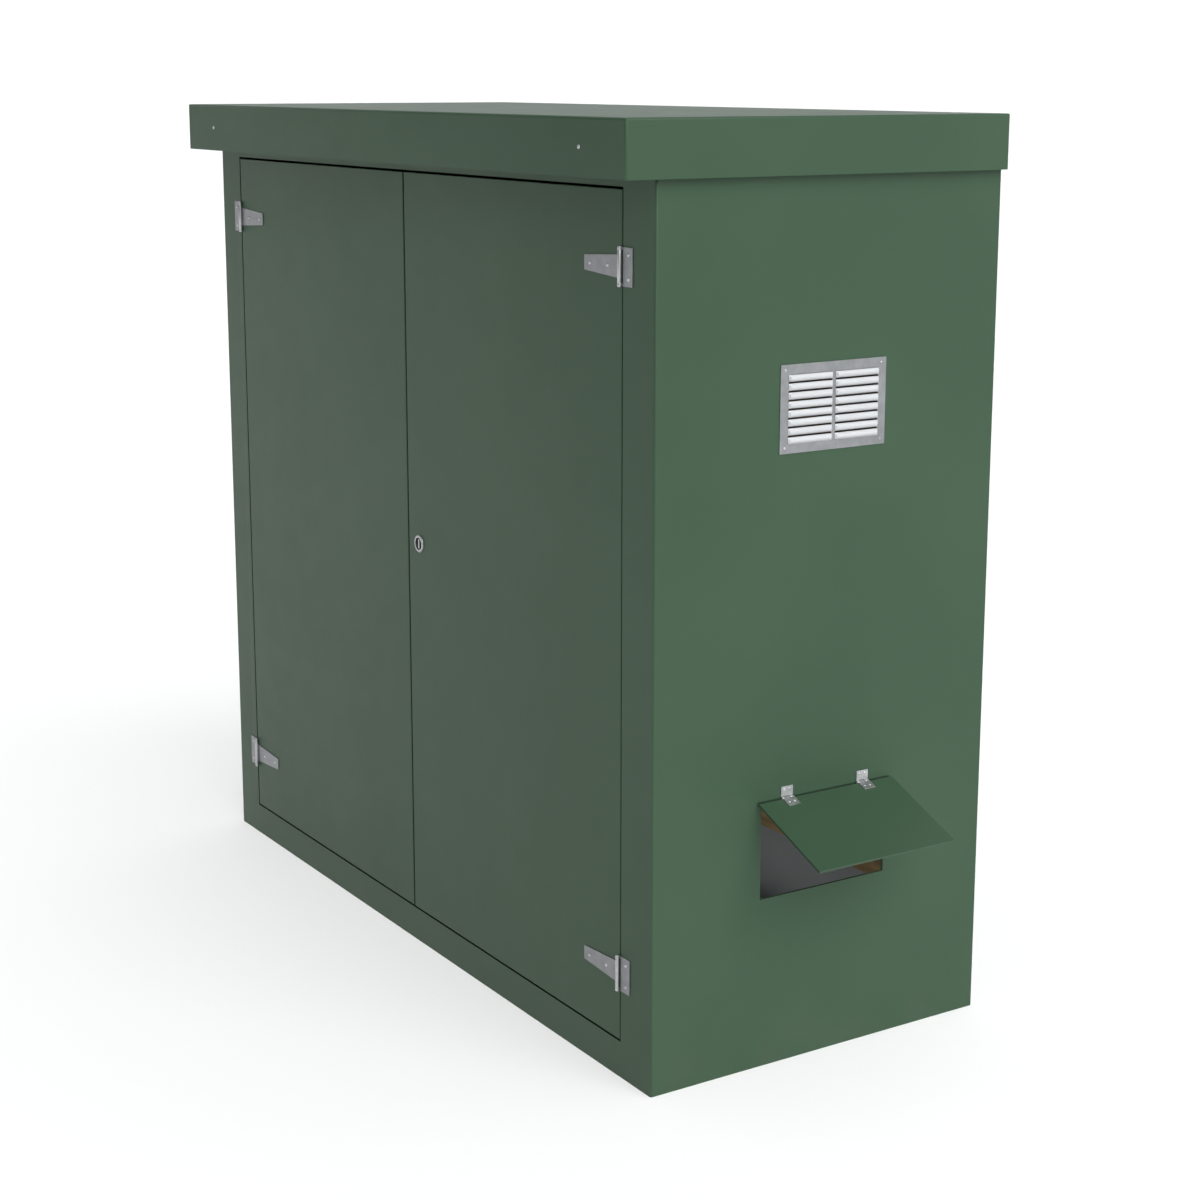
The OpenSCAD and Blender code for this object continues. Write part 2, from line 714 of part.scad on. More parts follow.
bolt_base_x = -door_x0 - skin_t - rod_x; // from the rod to the turned edge of the door
bracket_screw_z = [guide_z[0] + guide_l + 11, guide_z[1] - 11];

module bracket_screw_places() {
    for (end = [-1, 1], z = bracket_screw_z, s = [-1, 1]) at_bolt(end)
        translate([bolt_base_x, s * bracket_screw_y, z]) rotate([0, 90, 0]) children();
}

module bolt_bracket(end) {
    color(zinc) at_bolt(end) difference() {
        union() {
            span([bolt_base_x - bracket_base_t, bolt_base_x], [-bracket_half_w, bracket_half_w],
                 [guide_z[0], guide_z[1] + guide_l]);
            for (z = guide_z) {
                bar_z(0, 0, [z, z + guide_l], guide_r);
                span([0, bolt_base_x - bracket_base_t / 2], [-guide_r, guide_r], [z, z + guide_l]);
            }
        }
        bar_z(0, 0, [0, rod_l + 20], rod_r + pin_clear);
        for (z = bracket_screw_z, s = [-1, 1])
            bar_x([bolt_base_x - bracket_base_t - eps, bolt_base_x + eps], s * bracket_screw_y, z,
                  small_screw_r + fixed_clear);
    }
}
module top_bolt_bracket() { bolt_bracket(1); }
module bottom_bolt_bracket() { bolt_bracket(-1); }

module bolt_bracket_screws() {
    color(steel) bracket_screw_places() translate([0, 0, -bracket_base_t])
        dome_bolt(small_screw_r, bracket_base_t + skin_t - 1.2, 3, 1.4);
}

// A round rod with a knob on a stem that faces into the body
module shoot_bolt(end) {
    color(steel) at_bolt(end) union() {
        bar_z(0, 0, [1, 1 + rod_l], rod_r);
        bar_y(0, [0, knob_stem_l + 1], knob_z, knob_stem_r);
        bar_y(0, [knob_stem_l, knob_stem_l + knob_h], knob_z, knob_r);
    }
}
module top_shoot_bolt() { shoot_bolt(1); }
module bottom_shoot_bolt() { shoot_bolt(-1); }

// ---------------------------------------------------------------- lock

// Drawn along +Z into the door, from the door's face
module at_lock() { from_front(lock_x, front_y, lock_z) children(); }

module lock_housing() {
    color(zinc) at_lock() rotate_extrude()
        polygon([[lock_cup_r, -lock_flange_t], [lock_flange_r - 1, -lock_flange_t],
                 [lock_flange_r, -lock_flange_t + 1.2], [lock_flange_r, 0], [lock_barrel_r, 0],
                 [lock_barrel_r, lock_back], [lock_shaft_r + pin_clear, lock_back],
                 [lock_shaft_r + pin_clear, lock_cup_d], [lock_cup_r, lock_cup_d]]);
}
module lock_nut() {
    color(zinc) at_lock() translate([0, 0, skin_t]) hex_nut(36, 7, lock_barrel_r + fixed_clear);
}

// The key bar stands on a disc in the recess; a square end carries the cam
module lock_spindle() {
    disc_z = lock_cup_d - body_clear;
    color(zinc) at_lock() difference() {
        union() {
            translate([0, 0, disc_z - lock_disc_t])
                cylinder(h = lock_disc_t, r = lock_cup_r - pin_clear);
            span([-key_bar[0] / 2, key_bar[0] / 2], [-key_bar[1] / 2, key_bar[1] / 2],
                 [-lock_flange_t + 1, disc_z - 1]);
            translate([0, 0, disc_z - 1]) cylinder(h = lock_back + 0.5 - disc_z + 1, r = lock_shaft_r);
            span([-lock_square / 2, lock_square / 2], [-lock_square / 2, lock_square / 2],
                 [lock_back, cam_y + cam_t]);
        }
        translate([0, 0, lock_back - 12])
            cylinder(h = 12 + cam_t + 2, r = cam_screw_r + fixed_clear);
    }
}

module lock_cam() {
    cam_l = lock_x + cam_reach;
    color(steel) at_lock() difference() {
        union() {
            translate([0, 0, cam_y]) cylinder(h = cam_t, r = cam_w / 2);
            span([-cam_w / 2, cam_w / 2], [0, cam_l], [cam_y, cam_y + cam_t]);
        }
        span([-lock_square / 2 - fixed_clear, lock_square / 2 + fixed_clear],
             [-lock_square / 2 - fixed_clear, lock_square / 2 + fixed_clear],
             [cam_y - eps, cam_y + cam_t + eps]);
    }
}
module lock_cam_screw() {
    color(steel) at_lock() union() {
        translate([0, 0, cam_y + cam_t]) cylinder(h = 1.5, r = 8);
        translate([0, 0, cam_y + cam_t + 1.5]) cylinder(h = 4, r = 10 / sqrt(3), $fn = 6);
        translate([0, 0, lock_back - 10]) cylinder(h = 10 + cam_t + 2, r = cam_screw_r);
    }
}

// ---------------------------------------------------------- cable flap

// From the flap's pin: fixed to the wall, or swung out with the flap
module at_flap_pin() { translate([flap_pin_x, 0, flap_pin_z]) children(); }
module with_flap() { at_flap_pin() rotate([0, -flap_open, 0]) children(); }

module flap_wall_screw_places() {
    for (h = [-1, 1], s = [-1, 1])
        from_right(side_x + flap_leaf_t, h * flap_hinge_gap / 2 + s * flap_screw_y,
                   flap_pin_z + wall_screw_z) children();
}
module flap_screw_places() {
    with_flap() for (h = [-1, 1], s = [-1, 1])
        from_right(flap_x1 + flap_leaf_t, h * flap_hinge_gap / 2 + s * flap_screw_y, -leaf_screw_z)
            children();
}

knuckle_split = 5.4; // half the length of the middle knuckle

module flap_wall_leaf(h) {
    y = h * flap_hinge_gap / 2;
    w = flap_leaf_w / 2;
    color(zinc) difference() {
        at_flap_pin() difference() {
            union() {
                span([-flap_pin_out, -flap_pin_out + flap_leaf_t], [y - w, y + w], [0, wall_leaf_l]);
                bar_y(0, [y - w, y - knuckle_split - body_clear], 0, flap_knuckle_r);
                bar_y(0, [y + knuckle_split + body_clear, y + w], 0, flap_knuckle_r);
            }
            span([-flap_pin_out - eps, 0],
                 [y - knuckle_split - body_clear, y + knuckle_split + body_clear],
                 [-eps, flap_knuckle_r + 0.4]);
            bar_y(0, [y - w - eps, y + w + eps], 0, flap_pin_r + fixed_clear);
        }
        flap_wall_screw_places() cylinder(h = 12, r = small_screw_r + hole_clear);
    }
}
module flap_leaf(h) {
    y = h * flap_hinge_gap / 2;
    w = flap_leaf_w / 2;
    color(zinc) difference() {
        with_flap() difference() {
            union() {
                span([flap_x1, flap_x1 + flap_leaf_t], [y - w, y + w],
                     [-flap_leaf_l, -flap_knuckle_r - 0.4]);
                span([flap_x1, flap_x1 + flap_leaf_t], [y - knuckle_split, y + knuckle_split],
                     [-flap_leaf_l, 0]);
                bar_y(0, [y - knuckle_split, y + knuckle_split], 0, flap_knuckle_r);
            }
            bar_y(0, [y - w - eps, y + w + eps], 0, flap_pin_r + pin_clear);
        }
        flap_screw_places() cylinder(h = 12, r = small_screw_r + hole_clear);
    }
}
module flap_pin(h) {
    y = h * flap_hinge_gap / 2;
    w = flap_leaf_w / 2;
    color(steel) at_flap_pin() bar_y(0, [y - w - 0.4, y + w + 0.4], 0, flap_pin_r);
}
module front_flap_hinge_wall_leaf() { flap_wall_leaf(-1); }
module rear_flap_hinge_wall_leaf() { flap_wall_leaf(1); }
module front_flap_hinge_flap_leaf() { flap_leaf(-1); }
module rear_flap_hinge_flap_leaf() { flap_leaf(1); }
module front_flap_hinge_pin() { flap_pin(-1); }
module rear_flap_hinge_pin() { flap_pin(1); }

module flap_wall_screws() {
    color(steel) flap_wall_screw_places()
        dome_bolt(small_screw_r, flap_leaf_t + wall_t + 4, flap_head[0], flap_head[1]);
}
module flap_screws() {
    color(steel) flap_screw_places()
        dome_bolt(small_screw_r, flap_leaf_t + flap_t - 0.3, flap_head[0], flap_head[1]);
}

module cable_flap() {
    half = port_w / 2 + flap_lap;
    color(gel_green) difference() {
        with_flap() span([flap_x0, flap_x1], [-half, half], [-flap_len, -flap_edge]);
        flap_screw_places() cylinder(h = 12, r = small_screw_r + hole_clear);
    }
}

// --------------------------------------------------------------- nodes

body_shell();
roof_cap();
left_roof_bracket();
right_roof_bracket();
roof_edge_screws();
roof_bolts();
roof_nuts();
door_seal();
backboard();
backboard_studs();
backboard_washers();
backboard_nuts();
vent_louvre();
vent_screws();
upper_left_hinge_plate();
lower_left_hinge_plate();
upper_right_hinge_plate();
lower_right_hinge_plate();
upper_left_hinge_pin();
lower_left_hinge_pin();
upper_right_hinge_pin();
lower_right_hinge_pin();
hinge_plate_bolts();
hinge_plate_nuts();
front_flap_hinge_wall_leaf();
rear_flap_hinge_wall_leaf();
front_flap_hinge_pin();
rear_flap_hinge_pin();
flap_wall_screws();
left_door();
upper_left_hinge_strap();
lower_left_hinge_strap();
left_strap_bolts();
left_strap_nuts();
top_bolt_bracket();
bottom_bolt_bracket();
bolt_bracket_screws();
top_shoot_bolt();
bottom_shoot_bolt();
right_door();
upper_right_hinge_strap();
lower_right_hinge_strap();
right_strap_bolts();
right_strap_nuts();
lock_housing();
lock_nut();
lock_spindle();
lock_cam();
lock_cam_screw();
cable_flap();
front_flap_hinge_flap_leaf();
rear_flap_hinge_flap_leaf();
flap_screws();
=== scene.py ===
"""Looks of a moulded roadside utility cabinet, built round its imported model. Metres."""
import json
import math

import bmesh
import bpy
from mathutils import Matrix, Vector

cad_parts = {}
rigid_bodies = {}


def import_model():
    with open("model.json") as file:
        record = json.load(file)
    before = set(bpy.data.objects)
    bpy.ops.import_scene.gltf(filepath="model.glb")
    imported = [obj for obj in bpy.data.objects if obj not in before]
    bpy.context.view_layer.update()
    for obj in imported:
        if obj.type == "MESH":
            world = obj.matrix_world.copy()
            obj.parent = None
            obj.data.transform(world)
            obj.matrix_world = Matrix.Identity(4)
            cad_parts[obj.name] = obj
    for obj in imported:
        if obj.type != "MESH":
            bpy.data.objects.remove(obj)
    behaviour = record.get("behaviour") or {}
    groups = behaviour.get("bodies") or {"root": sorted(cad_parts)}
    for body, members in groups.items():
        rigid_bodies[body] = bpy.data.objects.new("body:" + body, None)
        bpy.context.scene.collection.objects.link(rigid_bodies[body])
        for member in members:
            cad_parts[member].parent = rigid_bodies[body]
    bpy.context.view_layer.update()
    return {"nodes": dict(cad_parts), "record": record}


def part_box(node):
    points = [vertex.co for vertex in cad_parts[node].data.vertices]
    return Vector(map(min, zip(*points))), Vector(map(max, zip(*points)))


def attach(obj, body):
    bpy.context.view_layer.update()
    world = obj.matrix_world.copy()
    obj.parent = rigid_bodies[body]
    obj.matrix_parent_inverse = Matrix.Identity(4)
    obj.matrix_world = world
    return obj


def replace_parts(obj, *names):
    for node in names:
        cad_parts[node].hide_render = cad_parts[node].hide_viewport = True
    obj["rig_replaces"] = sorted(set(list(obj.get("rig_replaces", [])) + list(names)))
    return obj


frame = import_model()
nodes = frame["nodes"]
slot_of = {part["node"]: part["material_slot"] for part in frame["record"]["subparts"]}
body_of = {node: body for body, members in frame["record"]["behaviour"]["bodies"].items()
           for node in members}

MM = 0.001

# Sizes that the looks share with the part
WALL = 5 * MM                       # moulded walls, door skins and roof
STOP_DEPTH = 40 * MM                # how far the door opening's edge runs in from the front
DOOR_MARGIN = 5 * MM                # a door's edge to what still counts as its opening
RECESS_RADIUS = 12.4 * MM           # the lock's key recess, with a little to spare
BARREL_RADIUS = 4.2 * MM            # a tee hinge's barrel, with a little to spare
VENT_SHEET = 1.5 * MM               # how far the vent's flat face stands out from the wall
shell_low, shell_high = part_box("body_shell")
roof_low, roof_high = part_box("roof_cap")
door_low, door_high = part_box("right_door")


# ---------------------------------------------------------------- nodes

class Value:
    """An output of a node. Sums on it add Math nodes to its graph."""

    def __init__(self, graph, socket):
        self.graph = graph
        self.socket = socket

    def __add__(self, other):
        return self.graph.math("ADD", self, other)

    def __radd__(self, other):
        return self.graph.math("ADD", other, self)

    def __sub__(self, other):
        return self.graph.math("SUBTRACT", self, other)

    def __rsub__(self, other):
        return self.graph.math("SUBTRACT", other, self)

    def __mul__(self, other):
        return self.graph.math("MULTIPLY", self, other)

    def __rmul__(self, other):
        return self.graph.math("MULTIPLY", other, self)

    def __truediv__(self, other):
        return self.graph.math("DIVIDE", self, other)

    def __rtruediv__(self, other):
        return self.graph.math("DIVIDE", other, self)


class Graph:
    """The tree of one material, of the world, or of one Geometry Nodes modifier."""

    def __init__(self, tree):
        self.tree = tree

    def node(self, kind, settings=None, inputs=None, output=0):
        """Adds a node: its settings first, then a value or a link for each socket."""
        made = self.tree.nodes.new(kind)
        for name, setting in (settings or {}).items():
            if name == "stops":
                fill_ramp(made.color_ramp, setting)
            else:
                setattr(made, name, setting)
        for name, value in (inputs or {}).items():
            if isinstance(value, Value):
                self.tree.links.new(value.socket, made.inputs[name])
            else:
                made.inputs[name].default_value = value
        return Value(self, made.outputs[output])

    def math(self, operation, *values):
        return self.node("ShaderNodeMath", {"operation": operation}, dict(enumerate(values)))

    def mix(self, factor, first, second):
        """A colour between two others."""
        return self.node("ShaderNodeMix", {"data_type": "RGBA"},
                         {0: factor, 6: first, 7: second}, output=2)

    def ramp(self, value, low, high):
        """0 below low, 1 above high, and smooth between them."""
        return self.node("ShaderNodeMapRange", {"interpolation_type": "SMOOTHSTEP"},
                         {"Value": value, "From Min": low, "From Max": high})

    def noise(self, place, scale, detail=2.0):
        return self.node("ShaderNodeTexNoise", None,
                         {"Vector": place, "Scale": scale, "Detail": detail})

    def stretch(self, place, scale):
        return self.node("ShaderNodeMapping", None, {"Vector": place, "Scale": scale})

    def part(self, place, axis):
        """The X, Y or Z of a vector."""
        return self.node("ShaderNodeSeparateXYZ", None, {0: place}, output=axis)

    def vector(self, x, y, z):
        return self.node("ShaderNodeCombineXYZ", None, {0: x, 1: y, 2: z})

    def join(self, *parts):
        """Several geometries as one."""
        joined = self.tree.nodes.new("GeometryNodeJoinGeometry")
        for part in parts:
            self.tree.links.new(part.socket, joined.inputs[0])
        return Value(self, joined.outputs[0])

    def cut(self, body, *cutters):
        """A body with the cutters taken away."""
        cutting = self.tree.nodes.new("GeometryNodeMeshBoolean")
        cutting.operation = "DIFFERENCE"
        cutting.solver = "EXACT"
        self.tree.links.new(body.socket, cutting.inputs["Mesh 1"])
        for cutter in cutters:
            self.tree.links.new(cutter.socket, cutting.inputs["Mesh 2"])
        return Value(self, cutting.outputs["Mesh"])

    def sheet(self, columns, rows):
        """A unit grid to be bent, with its place across and along it, each from 0 to 1."""
        grid = self.node("GeometryNodeMeshGrid", None,
                         {"Size X": 1.0, "Size Y": 1.0, "Vertices X": columns, "Vertices Y": rows})
        place = self.node("GeometryNodeInputPosition")
        return grid, self.part(place, "X") + 0.5, self.part(place, "Y") + 0.5

    def bend(self, grid, position):
        return self.node("GeometryNodeSetPosition", None, {"Geometry": grid, "Position": position})


def fill_ramp(ramp, stops):
    while len(ramp.elements) < len(stops):
        ramp.elements.new(0.5)
    for element, (position, colour) in zip(ramp.elements, stops):
        element.position = position
        element.color = colour


# ------------------------------------------------------------ materials

def colour_of(red, green, blue, shade_depth=1.0):
    """A linear colour. A shade depth under 1 darkens it."""
    return (red * shade_depth, green * shade_depth, blue * shade_depth, 1)


def grey(level):
    return colour_of(level, level, level)


def new_material(name, constants):
    """A material with one shader, whose unchanging sockets are set here."""
    material = bpy.data.materials.new(name)
    material.use_nodes = True
    shader = material.node_tree.nodes["Principled BSDF"]
    for socket, value in constants.items():
        shader.inputs[socket].default_value = value
    return material, Graph(material.node_tree), shader


def drive(graph, shader, **looks):
    """Links what varies over a surface to the shader."""
    for socket, value in looks.items():
        graph.tree.links.new(value.socket, shader.inputs[socket.replace("_", " ")])


def object_place(graph):
    return graph.node("ShaderNodeTexCoord", output="Object")


def bump(graph, height, distance, strength=1.0):
    return graph.node("ShaderNodeBump", None,
                      {"Height": height, "Distance": distance, "Strength": strength})


def painted_flap_shade_line(graph, place):
    """1 on the line of painted shade that runs along the flap's top edge on the wall, 0 off it."""
    flap_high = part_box("cable_flap")[1]
    wall = shell_high.x
    height = graph.part(place, "Z")
    aside = graph.math("ABSOLUTE", graph.part(place, "Y"))
    out = graph.part(place, "X")
    above_foot = graph.ramp(height, flap_high.z - 9 * MM, flap_high.z - 6 * MM)
    above_crown = graph.ramp(height, flap_high.z, flap_high.z + 1.5 * MM)
    past_end = graph.ramp(aside, flap_high.y - MM, flap_high.y)
    on_wall = graph.ramp(out, wall - 2 * MM, wall - MM)
    off_wall = graph.ramp(out, wall + 0.5 * MM, wall + MM)
    return above_foot * (1 - above_crown) * (1 - past_end) * on_wall * (1 - off_wall)


def gel_coat(name, shade_depth):
    """Green gel coat, a little chalky, with orange peel, a faint splash line
    and painted shade along the flap's top edge on the wall.

    A shade depth under 1 makes a darker copy: painted shade for the edges down in the door gaps."""
    material, graph, shader = new_material(name, {"Specular IOR Level": 0.23 * shade_depth})
    place = object_place(graph)
    cloud = graph.noise(place, 14, 4)
    chalk = graph.ramp(graph.noise(place, 2.2, 3), 0.35, 0.7)
    green = graph.mix(chalk, colour_of(0.0330, 0.0700, 0.0385, shade_depth),
                      colour_of(0.0375, 0.0765, 0.0430, shade_depth))
    splash_height, splash_strength = 0.16, 0.10
    low_down = 1 - graph.ramp(graph.part(place, "Z"), 0.0, splash_height)
    splash = low_down * graph.ramp(cloud, 0.3, 0.7) * splash_strength
    colour = graph.mix(splash, green, colour_of(0.11, 0.105, 0.085))
    # Painted shade: a dark line on the wall along the flap's top edge
    colour = graph.mix(painted_flap_shade_line(graph, place) * 0.75, colour, colour_of(0.004, 0.009, 0.005))
    orange_peel = graph.noise(place, 420, 1)
    drive(graph, shader, Base_Color=colour, Roughness=0.36 + 0.10 * cloud,
          Normal=bump(graph, orange_peel, 0.00006))
    return material


def flow_coat():
    """Grey flow coat on the back of the laminate, with the weave of the mat showing."""
    material, graph, shader = new_material("grey_flow_coat", {"Specular IOR Level": 0.3})
    place = object_place(graph)
    cloud = graph.noise(place, 9, 4)
    mat = graph.noise(place, 160, 3)
    colour = graph.mix(cloud, colour_of(0.20, 0.215, 0.22), colour_of(0.26, 0.275, 0.28))
    drive(graph, shader, Base_Color=colour, Roughness=0.5 + 0.2 * mat,
          Normal=bump(graph, mat, 0.0004))
    return material


def plated(name, dark, light, rough, grain_scale):
    """Plate or bare metal: a grained surface with patches of duller film."""
    material, graph, shader = new_material(name, {"Metallic": 0.85})
    place = object_place(graph)
    patch = graph.noise(place, 45, 4)
    grain = graph.noise(place, grain_scale, 2)
    colour = graph.mix(graph.ramp(patch, 0.3, 0.75), colour_of(*dark), colour_of(*light))
    drive(graph, shader, Base_Color=colour, Roughness=rough + 0.15 * patch,
          Normal=bump(graph, grain, 0.00003))
    return material


def painted_highlight_aluminium():
    """A lighter copy of the vent's aluminium: painted highlight on the blades' outsides, with faint
    streaks along them.
    """
    material, graph, shader = new_material("painted_highlight_aluminium", {"Metallic": 0.1})
    place = object_place(graph)
    streak = graph.noise(graph.stretch(place, (300, 12, 300)), 1.0)
    colour = graph.mix(streak, colour_of(0.46, 0.47, 0.485), colour_of(0.57, 0.58, 0.59))
    drive(graph, shader, Base_Color=colour, Roughness=0.3 + 0.2 * streak,
          Normal=bump(graph, streak, 0.00004))
    return material


def plywood():
    """Sealed plywood, with its figure and its pores along the board's width."""
    material, graph, shader = new_material("plywood", {"Specular IOR Level": 0.35})
    place = object_place(graph)
    figure = graph.noise(graph.stretch(place, (1.5, 1, 16)), 3.5, 6)
    pore = graph.noise(graph.stretch(place, (12, 1, 420)), 1.0)
    wood = graph.mix(graph.ramp(figure, 0.3, 0.7), colour_of(0.18, 0.110, 0.034),
                     colour_of(0.28, 0.190, 0.070))
    colour = graph.mix(graph.ramp(pore, 0.55, 0.75) * 0.5, wood, colour_of(0.10, 0.05, 0.02))
    drive(graph, shader, Base_Color=colour, Roughness=0.5 + 0.2 * figure,
          Normal=bump(graph, pore, 0.0002))
    return material


def matt_black(name):
    """Black with fine specks: the door seal's own colour, and painted shade on the backs of the
    louvres.
    """
    material, graph, shader = new_material(name, {"Specular IOR Level": 0.3})
    place = object_place(graph)
    speck = graph.noise(place, 300, 3)
    colour = graph.mix(speck, grey(0.012), grey(0.03))
    drive(graph, shader, Base_Color=colour, Roughness=0.65 + 0.2 * speck,
          Normal=bump(graph, speck, 0.0001))
    return material


def pale_floor():
    material, graph, shader = new_material("pale_floor", {"Specular IOR Level": 0.0})
    cloud = graph.noise(object_place(graph), 0.3)
    drive(graph, shader, Base_Color=graph.mix(cloud, grey(0.86), grey(0.88)))
    return material


finishes = {
    "green_gel_coat": gel_coat("green_gel_coat", 1.0),
    # A darker copy of the gel coat: painted shade for the edges down in the door gaps
    "painted_shade_gel_coat": gel_coat("painted_shade_gel_coat", 0.3),
    "grey_flow_coat": flow_coat(),
    "painted_highlight_aluminium": painted_highlight_aluminium(),
    "plywood": plywood(),
    "seal_rubber": matt_black("seal_rubber"),
    "louvre_shade": matt_black("louvre_shade"),
}
# Of each metal: its darker and lighter colour, its roughness and how fine its grain is
metals = {
    "hinge_zinc": ((0.22, 0.225, 0.235), (0.27, 0.275, 0.285), 0.26, 700),
    "bright_zinc": ((0.42, 0.425, 0.435), (0.52, 0.525, 0.535), 0.24, 700),
    "fastener_steel": ((0.42, 0.43, 0.45), (0.60, 0.61, 0.63), 0.25, 1200),
    "lock_zinc": ((0.34, 0.345, 0.36), (0.46, 0.465, 0.48), 0.26, 900),
    # The lock recess's dark entry is painted shade in the key recess
    "lock_recess_painted_shade": ((0.07, 0.07, 0.073), (0.12, 0.12, 0.124), 0.5, 900),
    "vent_aluminium": ((0.25, 0.26, 0.27), (0.31, 0.32, 0.33), 0.35, 800),
}
for metal, look in metals.items():
    finishes[metal] = plated(metal, *look)


# --------------------------------------------------------------- pieces

def put(piece, body, slot, *replaced):
    """Makes a finished piece ride on a body, in place of its CAD nodes."""
    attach(piece, body)
    if replaced:
        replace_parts(piece, *replaced)
    return piece


def add_object(name, mesh):
    piece = bpy.data.objects.new(name, mesh)
    bpy.context.scene.collection.objects.link(piece)
    return piece


def settle(piece):
    """Turns a piece with its modifiers into a plain mesh."""
    bpy.context.view_layer.update()
    seen = piece.evaluated_get(bpy.context.evaluated_depsgraph_get())
    mesh = bpy.data.meshes.new_from_object(seen)
    piece.modifiers.clear()
    old = piece.data
    piece.data = mesh
    bpy.data.meshes.remove(old)
    return piece


def start_recipe(name, sizes):
    """A Geometry Nodes tree with a named input for each size, and its graph and inputs."""
    tree = bpy.data.node_groups.new(name, "GeometryNodeTree")
    tree.interface.new_socket("Geometry", in_out="INPUT", socket_type="NodeSocketGeometry")
    for size in sizes:
        tree.interface.new_socket(size, in_out="INPUT", socket_type="NodeSocketFloat")
    tree.interface.new_socket("Material", in_out="INPUT", socket_type="NodeSocketMaterial")
    tree.interface.new_socket("Geometry", in_out="OUTPUT", socket_type="NodeSocketGeometry")
    graph = Graph(tree)
    entry = tree.nodes.new("NodeGroupInput")
    return graph, {socket.name: Value(graph, socket) for socket in entry.outputs if socket.name}


def end_recipe(graph, geometry, given):
    real = graph.node("GeometryNodeRealizeInstances", None, {"Geometry": geometry})
    coated = graph.node("GeometryNodeSetMaterial", None,
                        {"Geometry": real, "Material": given["Material"]})
    outcome = graph.tree.nodes.new("NodeGroupOutput")
    graph.tree.links.new(coated.socket, outcome.inputs["Geometry"])
    return graph.tree


def follow_recipe(name, mesh, tree, sizes, finish):
    """Runs a recipe on a mesh and returns the result as a plain piece."""
    piece = add_object(name, mesh)
    recipe = piece.modifiers.new("recipe", "NODES")
    recipe.node_group = tree
    for item in tree.interface.items_tree:
        if item.in_out == "INPUT" and item.name in sizes:
            recipe[item.identifier] = sizes[item.name]
        if item.in_out == "INPUT" and item.name == "Material":
            recipe[item.identifier] = finishes[finish]
    return settle(piece)


def shade_round(mesh, sharpest=40):
    """Smooth shading, with an edge wherever two faces turn by more than sharpest degrees."""
    mesh.shade_smooth()
    mesh.set_sharp_from_angle(angle=math.radians(sharpest))


def shade_edges(mesh, narrow=3 * MM):
    """Smooth shading on the narrow faces of rounded edges and bores, flat on the rest."""
    for face in mesh.polygons:
        corners = [mesh.vertices[index].co for index in face.vertices]
        longest = max((a - b).length for a, b in zip(corners, corners[1:] + corners[:1]))
        face.use_smooth = face.area < narrow * longest


def merged_copy(node):
    """The mesh of a CAD node with its doubles merged and its flat faces joined."""
    mesh = nodes[node].data.copy()
    work = bmesh.new()
    work.from_mesh(mesh)
    bmesh.ops.remove_doubles(work, verts=work.verts, dist=0.01 * MM)
    bmesh.ops.dissolve_limit(work, angle_limit=math.radians(0.5), verts=work.verts,
                             edges=work.edges)
    work.to_mesh(mesh)
    work.free()
    return mesh


def soften(name, node, width, finish_names, finish_of=None, segments=2):
    """Stands a copy with rounded edges for a CAD node. finish_of picks each face's finish."""
    mesh = merged_copy(node)
    mesh.materials.clear()
    for finish in finish_names:
        mesh.materials.append(finishes[finish])
    for face in mesh.polygons:
        face.material_index = finish_of(face.center, face.normal) if finish_of else 0
    piece = add_object(name, mesh)
    edges = piece.modifiers.new("rounded edges", "BEVEL")
    edges.width = width
    edges.segments = segments
    edges.limit_method = "ANGLE"
    edges.angle_limit = math.radians(40)
    settle(piece)
    shade_edges(piece.data)
    return put(piece, body_of[node], slot_of[node], node)


# Where a moulding turns from its front face into a gap, its painted-shade coat starts this deep
FRONT_EDGE = 0.9 * MM
SLACK = 0.1 * MM


def within(place, low, high):
    """Whether a place is on or between the inner faces of two walls."""
    return low + WALL - SLACK < place < high - WALL + SLACK


def shell_finish(centre, normal):
    """Green outside, painted shade round the door opening and grey inside."""
    beside_doors = abs(centre.x) < door_high.x + DOOR_MARGIN
    in_opening = beside_doors and centre.y < shell_low.y + STOP_DEPTH and normal.y < 0.5
    if in_opening:
        return 2 if centre.y > shell_low.y + FRONT_EDGE else 0
    return int(within(centre.x, shell_low.x, shell_high.x)
               and within(centre.y, shell_low.y, shell_high.y)
               and within(centre.z, shell_low.z, shell_high.z))


def door_finish(centre, normal):
    """Green in front, grey in the tray and painted shade on the edges."""
    in_tray = (within(abs(centre.x), door_low.x, door_high.x)
               and within(centre.z, door_low.z, door_high.z)
               and centre.y > door_low.y + WALL - SLACK)
    if in_tray:
        return 1
    return 2 if centre.y > door_low.y + FRONT_EDGE else 0


def roof_finish(centre, normal):
    """Green outside, grey in the hollow."""
    return int(within(centre.x, roof_low.x, roof_high.x)
               and within(centre.y, roof_low.y, roof_high.y)
               and within(centre.z, roof_low.z, roof_high.z))


def lock_finish(centre, normal):
    """Bright flange and bar, with painted shade in the recess round the bar."""
    low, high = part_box("lock_housing")
    aside = math.hypot(centre.x - (low.x + high.x) / 2, centre.z - (low.z + high.z) / 2)
    on_front = centre.y < low.y + 1.2 * MM and normal.y < -0.5
    return int(aside < RECESS_RADIUS and not on_front)


def hinge_finish(centre, normal):
    """Duller leaves, and a brighter barrel."""
    low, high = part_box("upper_right_hinge_pin")
    return int(abs(abs(centre.x) - (low.x + high.x) / 2) < BARREL_RADIUS)


